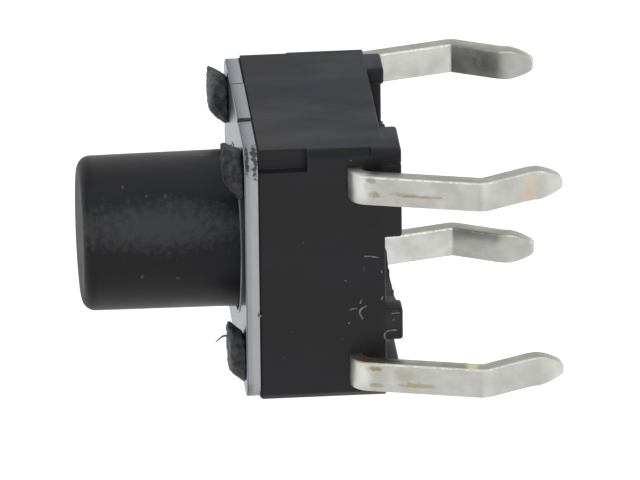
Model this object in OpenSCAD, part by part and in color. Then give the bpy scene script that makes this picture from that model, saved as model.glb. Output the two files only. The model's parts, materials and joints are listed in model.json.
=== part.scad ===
// Tactile push button switch, through-hole, 6 mm square, sprung round button.
// Millimetres. The origin is the centre of the seating plane, where the standoffs meet the board.
// +Z runs up along the button, the two lead rows leave the faces at -Y and +Y.

/* [Housing] */
// Width of the housing, across the two terminals
body_x = 6.0; // [5.8:0.1:6.6]
// Depth of the housing, between the two faces that the leads leave
body_y = 6.0; // [5.8:0.1:6.6]
// Height of the housing, from its underside to the cover plate
body_h = 2.82; // [2.7:0.02:3.2]
// Radius of the housing's upright edges
body_edge_r = 0.155; // [0.055:0.01:0.305]
// Thickness of the floor under the strips of the terminals
floor_t = 0.52; // [0.48:0.02:0.6]
// Width of each relieved corner beside the cover plate
relief_w = 0.47; // [0.3:0.01:0.7]
// How far each relieved corner is set back from the face
relief_d = 0.24; // [0.1:0.02:0.3]
// Height of each relieved corner, down from the cover plate
relief_h = 1.1; // [0.6:0.1:1.3]

/* [Standoffs] */
// Height of the standoffs, from the board to the housing's underside
standoff_h = 0.38; // [0.3:0.02:0.5]
// Width of the ribs along the housing's two edges beside the terminals
rib_w = 0.4; // [0.25:0.05:0.4]
// How far each rib on the +X edge runs in from the lead face
near_rib_l = 1.35; // [1.0:0.05:1.7]
// Clear length between the two ribs on the -X edge
far_rib_gap = 1.0; // [0.6:0.1:1.6]
// Set-in of every rib but one from the lead face
rib_set_in = 0.4; // [0.1:0.05:0.6]
// Distance from the middle of the housing to the near side of each foot
foot_in_x = 0.86; // [0.6:0.02:1.0]
// Width of the two feet on the -X side
foot_w = 0.76; // [0.5:0.02:0.9]
// Depth of each foot, in from the lead face
foot_l = 0.55; // [0.4:0.05:0.8]
// Thickness of the curved web that joins the two feet of one side
web_t = 0.3; // [0.2:0.05:0.4]
// How far the curved web bows out between its two feet
web_bow = 0.45; // [0.2:0.05:0.6]

/* [Posts] */
// Distance from the housing's edges to the centre of each post
post_in = 0.8; // [0.75:0.05:0.9]
// Diameter of each post
post_d = 0.8; // [0.6:0.05:0.9]
// Diameter of the melted head of each post
head_d = 1.26; // [1.1:0.02:1.4]
// Diameter of the flat end of the melted head
head_top_d = 1.0; // [0.8:0.02:1.04]
// Height of the melted head above the cover plate
head_h = 0.43; // [0.3:0.01:0.5]
// Height of the melted head's upright rim, below its slope
head_rim_h = 0.1; // [0.04:0.01:0.12]
// Radius between the melted head's slope and its flat end
head_round = 0.09; // [0.02:0.01:0.12]
// Clearance around each post in the cover plate
post_gap = 0.02; // [0.01:0.01:0.05]

/* [Cover plate] */
// Thickness of the cover plate
plate_t = 0.3; // [0.2:0.05:0.4]
// Corner radius of the cover plate
plate_corner_r = 0.5; // [0.3:0.05:0.6]
// Length of the cut tie bar left on two edges of the cover plate
tie_l = 2.0; // [1.5:0.02:2.6]
// How far the cut tie bar stands proud of the edge
tie_proud = 0.05; // [0.02:0.01:0.1]
// Width of the notch at each end of the tie bar
tie_notch_w = 0.08; // [0.04:0.01:0.15]
// Depth of the notch at each end of the tie bar
tie_notch_d = 0.07; // [0.03:0.01:0.15]

/* [Button] */
// Height of the button's end above the board
overall_h = 7.0; // [5:0.5:9.5]
// Diameter of the button above its tapered foot
button_d = 3.5; // [3.3:0.02:3.6]
// How far the foot widens on each side, down to the flange
foot_taper = 0.03; // [0.02:0.01:0.06]
// How far the tapered foot reaches above the melted heads of the posts
foot_over = 0.07; // [0.05:0.01:0.3]
// Radius of the button's top edge
button_round = 0.3; // [0.1:0.05:0.5]
// How far the flange stands out round the button
flange_lip = 0.39; // [0.3:0.01:0.45]
// Thickness of the flange
flange_t = 0.6; // [0.4:0.05:0.8]
// Clearance round the button's foot in the cover plate
button_gap = 0.06; // [0.05:0.01:0.1]
// Clearance between the flange and the cover plate
flange_rest_gap = 0.02; // [0.01:0.01:0.05]
// Clearance round the flange in the housing
flange_side_gap = 0.2; // [0.1:0.05:0.25]
// Diameter of the boss under the flange
boss_d = 2.4; // [1.8:0.1:2.6]
// Diameter of the nub that presses the dome
nub_d = 1.0; // [0.8:0.1:1.2]
// Length of the nub below the boss
nub_l = 0.34; // [0.2:0.02:0.5]
// Clearance between the nub and the dome
nub_gap = 0.02; // [0.01:0.01:0.05]

/* [Contacts] */
// Travel of the button, and free height inside the dome
travel = 0.25; // [0.2:0.05:0.3]
// Radius of the dome's rim
dome_r = 1.8; // [1.6:0.05:1.9]
// Thickness of the dome
dome_t = 0.07; // [0.05:0.01:0.09]
// Clearance round the dome in its well
dome_side_gap = 0.06; // [0.03:0.01:0.1]
// Depth of the well that locates the dome
well_d = 0.2; // [0.1:0.02:0.25]
// Width of the curved contact under the dome's rim
rim_contact_w = 0.36; // [0.25:0.01:0.45]
// Angle that the curved contact spans
rim_contact_angle = 220; // [150:5:240]
// Width of the tongue that carries the centre contact
tongue_w = 0.7; // [0.5:0.05:0.8]
// How far the tongue is stepped down below the strip
tongue_step = 0.15; // [0.1:0.01:0.18]
// Diameter of the centre contact
centre_contact_d = 1.1; // [0.8:0.1:1.3]

/* [Leads] */
// Distance from the housing's edge to the middle of each lead, which sets the pitch of the two leads of a row
lead_in = 0.75; // [0.65:0.05:0.85]
// Width of each lead
lead_w = 0.7; // [0.6:0.05:0.8]
// Thickness of the terminal metal
lead_t = 0.3; // [0.2:0.02:0.36]
// Distance from the housing's face to the middle of the lead where it turns down
lead_out = 0.32; // [0.3:0.02:0.5]
// Angle that the upper leg leans outwards
leg_angle = 14.8; // [8:0.2:18]
// Depth of the kink below the board
kink_z = 1.72; // [1.2:0.02:2.2]
// Height from the kink down to the waist, where the lead straightens
waist_drop = 1.08; // [0.9:0.02:1.4]
// Angle that the lead returns inwards below the kink
return_angle = 27; // [15:1:32]
// Angle of the lead's tip inwards
tip_angle = 8.6; // [0:0.2:12]
// Height from the waist down to the end of the tip
tip_drop = 0.73; // [0.6:0.01:1.2]
// Width of the lead tip
tip_w = 0.3; // [0.2:0.02:0.4]
// Length of the taper at the lead tip
tip_l = 0.56; // [0.3:0.02:0.6]
// Corner radius of the lead tip
tip_round = 0.09; // [0.03:0.01:0.1]
// Bend radius at the housing, to the middle of the metal
exit_bend_r = 0.34; // [0.3:0.02:0.4]
// Bend radius of the kink, to the middle of the metal
kink_bend_r = 0.25; // [0.2:0.05:0.6]
// Bend radius of the waist, to the middle of the metal
waist_bend_r = 0.7; // [0.4:0.05:0.9]

/* [Hidden] */
$fn = 96;
cut = 0.5;
bend_steps = 8;

housing_colour = "#2e2e31";
button_colour = "#333335";
plate_colour = "#b4b9bf";
dome_colour = "#d2d4d6";
lead_colour = "#d9d8d0";

// Levels, upwards from the board
underside_z = standoff_h;
strip_z = underside_z + floor_t;
contact_z = strip_z + lead_t;
cavity_floor_z = contact_z + well_d;
plate_z = underside_z + body_h;
plate_top_z = plate_z + plate_t;
foot_top_z = plate_top_z + head_h + foot_over;
flange_top_z = plate_z - flange_rest_gap;
flange_z = flange_top_z - flange_t;
nub_z = contact_z + travel + dome_t + nub_gap;
boss_z = nub_z + nub_l;

// Radii round the button's axis
button_r = button_d / 2;
foot_r = button_r + foot_taper;
flange_r = foot_r + flange_lip;
cavity_r = flange_r + flange_side_gap;
well_r = dome_r + dome_side_gap;
rim_contact_r = dome_r - rim_contact_w / 2;
dome_curve_r = (dome_r * dome_r + travel * travel) / (2 * travel);

// Places in plan
post_x = body_x / 2 - post_in;
post_y = body_y / 2 - post_in;
lead_x = body_x / 2 - lead_in;
foot_mid_x = foot_in_x + foot_w / 2;

// The lead's centreline, as the corners of a bent strip in depth and height
strip_mid_z = strip_z + lead_t / 2;
exit_point = [body_y / 2 + lead_out, strip_mid_z];
waist_z = kink_z + waist_drop;
tip_z = waist_z + tip_drop;
kink_point = step_down(exit_point, leg_angle, -kink_z);
waist_point = step_down(kink_point, -return_angle, -waist_z);
tip_point = step_down(waist_point, -tip_angle, -tip_z - lead_t);
lead_line = [[0, strip_mid_z], exit_point, kink_point, waist_point, tip_point];
lead_bends = [0, exit_bend_r, kink_bend_r, waist_bend_r, 0];

// The point reached from p by going down to height z at an angle from upright
function step_down(p, angle, z) = [p.x + (p.y - z) * tan(angle), z];

// Unit vector from a to b, a vector turned left, a vector turned by an angle, and the turn from u to v
function along(a, b) = (b - a) / norm(b - a);
function left_of(v) = [-v.y, v.x];
function turned(v, angle) = [v.x * cos(angle) - v.y * sin(angle), v.x * sin(angle) + v.y * cos(angle)];
function turn_angle(u, v) = atan2(u.x * v.y - u.y * v.x, u * v);

// The round stretch at one corner, on a line that runs beside the middle of the metal
function bend_arc(corner, u, v, r, beside) =
    let (
        turn = turn_angle(u, v),
        inward = left_of(u) * sign(turn),
        centre = corner - u * r * abs(tan(turn / 2)) + inward * r
    )
    [for (k = [0 : bend_steps]) centre - turned(inward, turn * k / bend_steps) * (r - sign(turn) * beside)];

// One side of a bent strip, at a distance to the left of its middle
function strip_side(line, bends, beside) = concat(
    [line[0] + left_of(along(line[0], line[1])) * beside],
    [for (i = [1 : len(line) - 2])
        each bend_arc(line[i], along(line[i - 1], line[i]), along(line[i], line[i + 1]), bends[i], beside)],
    [line[len(line) - 1] + left_of(along(line[len(line) - 2], line[len(line) - 1])) * beside]
);

function reversed(list) = [for (i = [len(list) - 1 : -1 : 0]) list[i]];

// The side view of a strip bent along a line of corners
module bent_strip(line, bends, thick) {
    polygon(concat(strip_side(line, bends, thick / 2), reversed(strip_side(line, bends, -thick / 2))));
}

// A rectangle in plan with round corners, centred
module round_rectangle(x, y, r) {
    square([x - 2 * r, y], center = true);
    square([x, y - 2 * r], center = true);
    for (sx = [-1, 1], sy = [-1, 1]) translate([sx * (x / 2 - r), sy * (y / 2 - r)]) circle(r = r);
}

// The outline of a lead seen from its row's side, with the tapered tip
module lead_front() {
    shoulder_z = -tip_z + tip_l;
    round_z = -tip_z + tip_round;
    corner_x = tip_w / 2 - tip_round;
    polygon([
        [-lead_w / 2, contact_z + cut],
        [lead_w / 2, contact_z + cut],
        [lead_w / 2, shoulder_z],
        [tip_w / 2, round_z],
        [-tip_w / 2, round_z],
        [-lead_w / 2, shoulder_z]
    ]);
    translate([-corner_x, -tip_z]) square([2 * corner_x, 2 * tip_round]);
    for (side = [-1, 1]) translate([side * corner_x, round_z]) circle(r = tip_round);
}

// Half of a terminal, from the middle of the strip to the tip of the lead at +Y
module half_terminal() {
    intersection() {
        translate([-lead_w / 2, 0, 0]) rotate([90, 0, 90])
            linear_extrude(lead_w) bent_strip(lead_line, lead_bends, lead_t);
        translate([0, body_y * 2, 0]) rotate([90, 0, 0])
            linear_extrude(body_y * 4) lead_front();
    }
}

// A strip through the housing with a kinked lead at each end
module strip_with_leads() {
    half_terminal();
    mirror([0, 1, 0]) half_terminal();
}

// The terminal that carries the centre contact, as it lies in the housing
module terminal_centre_body() {
    translate([lead_x, 0, 0]) strip_with_leads();
    translate([0, -tongue_w / 2, strip_z - tongue_step]) cube([lead_x, tongue_w, lead_t]);
    translate([0, 0, strip_z - tongue_step])
        cylinder(d = centre_contact_d, h = contact_z - strip_z + tongue_step);
}

// The terminal that carries the curved contact under the dome's rim, as it lies in the housing
module terminal_rim_body() {
    open_half = 180 - rim_contact_angle / 2;
    translate([-lead_x, 0, 0]) strip_with_leads();
    translate([-lead_x, -tongue_w / 2, strip_z]) cube([lead_x - rim_contact_r, tongue_w, lead_t]);
    translate([0, 0, strip_z]) rotate([0, 0, open_half]) rotate_extrude(angle = rim_contact_angle)
        translate([rim_contact_r - rim_contact_w / 2, 0]) square([rim_contact_w, lead_t]);
}

// The moulded outline, relieved beside the cover plate at the two corners towards +X
module housing_block() {
    difference() {
        translate([0, 0, underside_z]) linear_extrude(body_h)
            round_rectangle(body_x, body_y, body_edge_r);
        for (sy = [-1, 1])
            translate([
                body_x / 2 - relief_w,
                sy * (body_y / 2 - relief_d / 2 + cut / 2) - (relief_d + cut) / 2,
                plate_z - relief_h
            ]) cube([relief_w + cut, relief_d + cut, relief_h + cut]);
    }
}

// The ribs along the two edges of the underside, in plan
module ribs() {
    near_x = body_x / 2 - rib_w;
    end_y = body_y / 2 - rib_set_in;
    intersection() {
        round_rectangle(body_x, body_y, body_edge_r);
        translate([near_x, -body_y / 2]) square([rib_w, near_rib_l]);
    }
    translate([near_x, body_y / 2 - near_rib_l]) square([rib_w, near_rib_l - rib_set_in]);
    for (sy = [-1, 1])
        translate([-body_x / 2 + rib_w / 2, sy * (end_y + far_rib_gap / 2) / 2])
            square([rib_w, end_y - far_rib_gap / 2], center = true);
}

// One foot in plan, flush with a lead face and running out from the near side
module foot(sx, sy, w) {
    translate([sx * (foot_in_x + w / 2), sy * (body_y / 2 - foot_l / 2)])
        square([w, foot_l], center = true);
}

// The curved web between the two feet of one side, in plan
module foot_web(sx) {
    half = body_y / 2 - foot_l;
    web_r = (half * half + web_bow * web_bow) / (2 * web_bow);
    intersection() {
        translate([sx * (foot_mid_x + web_bow - web_r), 0]) difference() {
            circle(r = web_r + web_t / 2, $fn = 360);
            circle(r = web_r - web_t / 2, $fn = 360);
        }
        translate([sx * body_x / 4, 0]) square([body_x / 2, 2 * half + foot_l], center = true);
    }
}

// All that the switch stands on
module standoffs() {
    linear_extrude(underside_z + cut) {
        ribs();
        for (sy = [-1, 1]) {
            foot(-1, sy, foot_w);
            foot(1, sy, body_x / 2 - rib_w - foot_in_x);
        }
        for (sx = [-1, 1]) foot_web(sx);
    }
}

// One post with its melted head, from inside the housing up
module staked_post() {
    rim = [head_d / 2, head_rim_h];
    crown = [head_top_d / 2, head_h];
    translate([0, 0, plate_z - cut]) cylinder(d = post_d, h = cut + plate_t + head_h / 2);
    translate([0, 0, plate_top_z]) rotate_extrude() polygon(concat(
        [[0, 0], [rim.x, 0], rim],
        bend_arc(crown, along(rim, crown), [-1, 0], head_round, 0),
        [[0, head_h]]
    ));
}

module housing() {
    color(housing_colour) difference() {
        union() {
            housing_block();
            standoffs();
            for (sx = [-1, 1], sy = [-1, 1]) translate([sx * post_x, sy * post_y, 0]) staked_post();
        }
        translate([0, 0, cavity_floor_z]) cylinder(r = cavity_r, h = plate_z - cavity_floor_z + cut);
        translate([0, 0, contact_z]) cylinder(r = well_r, h = well_d + cut);
        terminal_centre_body();
        terminal_rim_body();
    }
}

module cover_plate() {
    color(plate_colour) translate([0, 0, plate_z]) linear_extrude(plate_t) difference() {
        union() {
            round_rectangle(body_x, body_y, plate_corner_r);
            square([body_x + 2 * tie_proud, tie_l], center = true);
        }
        for (sx = [-1, 1], sy = [-1, 1]) translate([sx * body_x / 2, sy * (tie_l + tie_notch_w) / 2])
            square([2 * tie_notch_d, tie_notch_w], center = true);
        circle(r = foot_r + button_gap);
        for (sx = [-1, 1], sy = [-1, 1]) translate([sx * post_x, sy * post_y])
            circle(r = post_d / 2 + post_gap);
    }
}

module push_button() {
    color(button_colour) rotate_extrude() {
        translate([0, nub_z]) square([nub_d / 2, flange_top_z - nub_z]);
        translate([0, boss_z]) square([boss_d / 2, flange_top_z - boss_z]);
        translate([0, flange_z]) square([flange_r, flange_t]);
        polygon([
            [0, flange_z],
            [foot_r, flange_z],
            [foot_r, flange_top_z],
            [button_r, foot_top_z],
            [0, foot_top_z]
        ]);
        translate([0, flange_z]) square([button_r, overall_h - button_round - flange_z]);
        translate([0, flange_z]) square([button_r - button_round, overall_h - flange_z]);
        translate([button_r - button_round, overall_h - button_round]) intersection() {
            circle(r = button_round);
            square(button_round);
        }
    }
}

module contact_dome() {
    color(dome_colour) translate([0, 0, contact_z]) rotate_extrude($fn = 180) intersection() {
        translate([0, travel - dome_curve_r]) difference() {
            circle(r = dome_curve_r + dome_t, $fn = 720);
            circle(r = dome_curve_r, $fn = 720);
        }
        square([dome_r, travel + dome_t]);
    }
}

module terminal_centre() {
    color(lead_colour) terminal_centre_body();
}

module terminal_rim() {
    color(lead_colour) terminal_rim_body();
}

housing();
cover_plate();
push_button();
contact_dome();
terminal_centre();
terminal_rim();
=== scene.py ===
"""A 6 mm tactile push button switch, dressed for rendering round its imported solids.

Every piece is modelled in millimetres in the solids' own frame, then shrunk to metres with its
object left at the origin. +Z runs up along the button and z = 0 is the face of the circuit board.
"""

import json
import logging
import math
from contextlib import contextmanager
from dataclasses import dataclass
from enum import Enum
from typing import Callable, Iterator, Sequence

import bmesh
import bpy
from mathutils import Matrix, Vector

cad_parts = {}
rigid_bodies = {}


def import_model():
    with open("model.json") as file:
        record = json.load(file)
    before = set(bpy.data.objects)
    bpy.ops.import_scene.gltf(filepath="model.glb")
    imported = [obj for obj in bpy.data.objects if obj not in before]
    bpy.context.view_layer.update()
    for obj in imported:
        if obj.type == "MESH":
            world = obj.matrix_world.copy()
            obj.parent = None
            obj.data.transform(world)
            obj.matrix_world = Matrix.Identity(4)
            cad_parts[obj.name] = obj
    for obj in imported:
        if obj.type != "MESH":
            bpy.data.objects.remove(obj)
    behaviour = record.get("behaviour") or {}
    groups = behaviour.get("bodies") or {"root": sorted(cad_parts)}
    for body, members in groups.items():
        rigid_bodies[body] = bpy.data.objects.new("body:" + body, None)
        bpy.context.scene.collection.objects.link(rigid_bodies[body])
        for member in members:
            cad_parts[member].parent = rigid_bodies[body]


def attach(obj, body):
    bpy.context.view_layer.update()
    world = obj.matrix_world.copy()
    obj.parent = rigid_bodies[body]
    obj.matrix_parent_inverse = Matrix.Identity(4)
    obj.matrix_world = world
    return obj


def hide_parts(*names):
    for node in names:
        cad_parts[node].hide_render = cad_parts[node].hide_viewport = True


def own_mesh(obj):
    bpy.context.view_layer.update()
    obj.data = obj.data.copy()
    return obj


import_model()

log = logging.getLogger("tactile_switch")

# One millimetre in Blender's metres, and a length in millimetres that is too short to see
MM = 0.001
TINY = 1e-4
# How closely an edge follows an axis when it counts as running along it
ALONG = 0.99
# How many flat sides a large and a small round have
ROUND = 96
SMALL_ROUND = 48
# The signs of two opposite sides, and of the four corners along X and Y
SIDES = (-1, 1)
CORNERS = ((-1, -1), (-1, 1), (1, -1), (1, 1))
Point = tuple[float, float, float]
Colour = tuple[float, float, float]
Solid = bpy.types.Object
Socket = bpy.types.NodeSocket
Test = Callable[[Vector, Vector], bool]
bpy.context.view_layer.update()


class Body(Enum):
    """The two bodies of the switch."""

    BASE = "base"
    BUTTON = "button"


class Slot(Enum):
    """The record's material slots."""

    HOUSING = "housing"
    COVER = "cover_plate"
    BUTTON = "push_button"
    DOME = "contact_dome"
    TERMINALS = "terminals"


class Cut(Enum):
    """How one shape changes another."""

    ADD = "UNION"
    TAKE_AWAY = "DIFFERENCE"


# Bench work: selecting, adding and joining shapes


def activate(piece: Solid) -> None:
    """Selects one piece alone and makes it the active one.

    Args:
        piece: The object to select.
    """
    for other in bpy.context.view_layer.objects:
        other.select_set(False)
    piece.select_set(True)
    bpy.context.view_layer.objects.active = piece


@contextmanager
def editing(piece: Solid, everything: bool = False) -> Iterator[None]:
    """Opens a piece in edit mode, and leaves edit mode afterwards.

    Args:
        piece: The mesh object to work on.
        everything: Whether all of it starts selected; otherwise nothing is.

    Yields:
        Nothing, while the piece is in edit mode.
    """
    activate(piece)
    bpy.ops.object.mode_set(mode="EDIT")
    bpy.ops.mesh.select_all(action="SELECT" if everything else "DESELECT")
    yield
    bpy.ops.object.mode_set(mode="OBJECT")


def pick_faces(piece: Solid, test: Test) -> None:
    """Selects the faces that pass a test on their centre and normal.

    Args:
        piece: The mesh object, in edit mode.
        test: Takes a face's centre and its normal.
    """
    bpy.ops.mesh.select_mode(type="FACE")
    mesh = bmesh.from_edit_mesh(piece.data)
    for face in mesh.faces:
        face.select_set(test(face.calc_center_median(), face.normal))
    bmesh.update_edit_mesh(piece.data)


def pick_edges(piece: Solid, test: Test) -> None:
    """Selects the edges that pass a test on their middle and direction.

    Args:
        piece: The mesh object, in edit mode.
        test: Takes an edge's middle and its unit direction.
    """
    bpy.ops.mesh.select_mode(type="EDGE")
    mesh = bmesh.from_edit_mesh(piece.data)
    for edge in mesh.edges:
        a, b = (v.co for v in edge.verts)
        edge.select_set(test((a + b) / 2, (b - a).normalized()))
    bmesh.update_edit_mesh(piece.data)


def turn_selection(angle: float, axis: str, centre: Point) -> None:
    """Turns what is selected by the right-hand rule; the operator itself turns the other way."""
    bpy.ops.transform.rotate(value=-angle, orient_axis=axis, center_override=centre)


def spin_selection(angle: float, axis: Point, centre: Point, steps: int) -> None:
    """Sweeps what is selected by the right-hand rule; the operator itself turns the other way."""
    bpy.ops.mesh.spin(steps=steps, angle=-angle, center=centre, axis=axis)


def face_outwards() -> None:
    """Selects the whole mesh in edit mode and turns its faces outwards."""
    bpy.ops.mesh.select_all(action="SELECT")
    bpy.ops.mesh.normals_make_consistent(inside=False)


def put_in_order(piece: Solid, way: Point) -> None:
    """Numbers a piece's points by how far they lie along a slanting way.

    A spin and a subdivision number them differently each run, and random draws follow the numbers.

    Args:
        piece: The mesh object, in edit mode.
        way: The way, slanted so that no two points lie equally far along it.
    """
    mesh = bmesh.from_edit_mesh(piece.data)
    slant = Vector(way)
    mesh.verts.sort(key=lambda vert: vert.co.dot(slant))
    mesh.verts.index_update()
    bmesh.update_edit_mesh(piece.data)


def upright(_middle: Vector, direction: Vector) -> bool:
    """Tells whether an edge runs along Z."""
    return abs(direction.z) > ALONG


def add_block(name: str, one: Point, other: Point) -> Solid:
    """Adds a block between two opposite corners.

    Args:
        name: The new object's name.
        one: A corner, in millimetres.
        other: The corner opposite it.

    Returns:
        The block, with its place and size in its mesh.
    """
    low, high = (Vector([end(pair) for pair in zip(one, other)]) for end in (min, max))
    bpy.ops.mesh.primitive_cube_add(size=1, location=(low + high) / 2, scale=high - low)
    return settled(name)


def add_round(name: str, centre: Point, radius: float, height: float, sides: int = ROUND) -> Solid:
    """Adds an upright cylinder that stands on a point.

    Args:
        name: The new object's name.
        centre: The middle of the cylinder's foot, in millimetres.
        radius: Its radius.
        height: Its height.
        sides: The number of its flat sides.

    Returns:
        The cylinder, with its place in its mesh.
    """
    bpy.ops.mesh.primitive_cylinder_add(
        vertices=sides,
        radius=radius,
        depth=height,
        location=(centre[0], centre[1], centre[2] + height / 2),
    )
    return settled(name)


def settled(name: str) -> Solid:
    """Names the newest object and puts its place and size into its mesh.

    Args:
        name: The name that it gets.

    Returns:
        The object.
    """
    piece = bpy.context.active_object
    activate(piece)
    piece.name = name
    piece.data.name = name
    bpy.ops.object.transform_apply(location=True, rotation=True, scale=True)
    return piece


def lathe(
    name: str,
    profile: Sequence[tuple[float, float]],
    sides: int,
    centre: Point = (0, 0, 0),
    lean: tuple[float, float] = (0, 0),
) -> Solid:
    """Builds a closed turned shape by extruding a disc ring by ring.

    Args:
        name: The new object's name.
        profile: Radius and height of each ring, from the foot up; both ends are closed discs.
        sides: The number of points round each ring.
        centre: Where the profile's zero height and axis lie.
        lean: How far the axis drifts along X and Y for each millimetre of height.

    Returns:
        The turned shape.
    """
    radius, height = profile[0]
    x, y, z = centre
    bpy.ops.mesh.primitive_circle_add(
        vertices=sides,
        radius=radius,
        fill_type="NGON",
        location=(x, y, z + height),
    )
    piece = settled(name)
    with editing(piece, everything=True):
        for next_radius, next_height in profile[1:]:
            step = next_height - height
            rise = (lean[0] * step, lean[1] * step, step)
            bpy.ops.mesh.extrude_region_move(TRANSFORM_OT_translate={"value": rise})
            scale = next_radius / radius
            middle = (x + lean[0] * next_height, y + lean[1] * next_height, z + next_height)
            bpy.ops.transform.resize(value=(scale, scale, 1), center_override=middle)
            radius, height = next_radius, next_height
        face_outwards()
    return piece


def spin_bar(
    name: str,
    section: tuple[float, float],
    middle: Point,
    pivot_x: float,
    start: float,
    angle: float,
    steps: int,
) -> Solid:
    """Spins an upright rectangle round a vertical axis into a curved bar.

    Args:
        name: The new object's name.
        section: The rectangle's width and height, in millimetres.
        middle: The rectangle's middle before it is turned to the bar's start.
        pivot_x: Where the axis stands along X, at Y = 0.
        start: How far the bar's start is turned from there, in radians.
        angle: How far it is then spun, in radians.
        steps: How many straight stretches it has.

    Returns:
        The bar as a closed mesh.
    """
    width, height = section
    bpy.ops.mesh.primitive_plane_add(size=1, rotation=(math.pi / 2, 0, 0))
    bar = settled(name)
    with editing(bar, everything=True):
        bpy.ops.transform.resize(value=(width, 1, height), center_override=(0, 0, 0))
        bpy.ops.transform.translate(value=middle)
        turn_selection(start, "Z", (pivot_x, 0, 0))
        spin_selection(angle, (0, 0, 1), (pivot_x, 0, 0), steps)
        face_outwards()
    return bar


def apply_modifier(piece: Solid, kind: str, **settings: object) -> None:
    """Adds a modifier and applies it at once.

    Args:
        piece: The object that it changes.
        kind: The modifier's type, as Blender names it.
        settings: The modifier's own settings.
    """
    activate(piece)
    modifier = piece.modifiers.new(kind.lower(), kind)
    for key, value in settings.items():
        setattr(modifier, key, value)
    bpy.ops.object.modifier_apply(modifier=modifier.name)


def combine(piece: Solid, tool: Solid, cut: Cut) -> None:
    """Joins a tool shape to a piece or cuts it away, and deletes the tool.

    Args:
        piece: The object that is kept.
        tool: The object that is used up.
        cut: Whether the tool is added or taken away.
    """
    apply_modifier(piece, "BOOLEAN", operation=cut.value, object=tool, solver="EXACT")
    bpy.data.objects.remove(tool, do_unlink=True)


def soften(piece: Solid, width: float, segments: int = 2, limit_deg: float = 40) -> None:
    """Rounds every edge that turns more sharply than a limit.

    Args:
        piece: The object that it changes.
        width: How far the rounding reaches from the edge, in millimetres.
        segments: How many flats make up the rounding.
        limit_deg: Edges that turn less than this stay as they are.
    """
    apply_modifier(
        piece,
        "BEVEL",
        width=width,
        segments=segments,
        limit_method="ANGLE",
        angle_limit=math.radians(limit_deg),
        use_clamp_overlap=True,
        miter_outer="MITER_ARC",
    )


def join(main: Solid, others: Sequence[Solid]) -> None:
    """Joins other objects into one, each keeping its own closed shell.

    Args:
        main: The object that is kept.
        others: The objects that become part of it.
    """
    activate(main)
    for other in others:
        other.select_set(True)
    bpy.ops.object.join()


def draw_thread(points: Sequence[Point], radii: Sequence[float]) -> Solid:
    """Draws a smooth round thread through some points.

    Args:
        points: The points that it is drawn towards, in millimetres.
        radii: Its radius at each point.

    Returns:
        The thread as a closed mesh.
    """
    curve = bpy.data.curves.new("thread", "CURVE")
    curve.dimensions = "3D"
    curve.bevel_depth = 1
    curve.bevel_resolution = 2
    curve.use_fill_caps = True
    spline = curve.splines.new("NURBS")
    spline.points.add(len(points) - 1)
    for knot, place, radius in zip(spline.points, points, radii):
        knot.co = (*place, 1)
        knot.radius = radius
    spline.use_endpoint_u = True
    spline.order_u = min(3, len(points))
    made = bpy.data.objects.new("thread", curve)
    bpy.context.collection.objects.link(made)
    activate(made)
    bpy.ops.object.convert(target="MESH")
    return bpy.context.active_object


def finish_piece(
    piece: Solid,
    material: bpy.types.Material,
    body: Body,
    replaced: str | None = None,
    smooth_deg: float = 35,
) -> None:
    """Shrinks a piece to metres, smooths it, dresses it and hands it to its body.

    Args:
        piece: The piece, modelled in millimetres.
        material: Its finish.
        body: The body that it moves with.
        replaced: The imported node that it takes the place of, if any.
        smooth_deg: Edges that turn more than this stay sharp.
    """
    with editing(piece, everything=True):
        bpy.ops.mesh.remove_doubles(threshold=TINY)
        bpy.ops.transform.resize(value=(MM, MM, MM), center_override=(0, 0, 0))
    bpy.ops.object.shade_smooth_by_angle(angle=math.radians(smooth_deg))
    apply_modifier(piece, "WEIGHTED_NORMAL", keep_sharp=True, weight=100)
    piece.data.materials.clear()
    piece.data.materials.append(material)
    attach(piece, body.value)
    if replaced:
        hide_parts(replaced)
    log.info("%s: %d faces, rides on %s", piece.name, len(piece.data.polygons), body.value)


# Finishes


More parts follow.
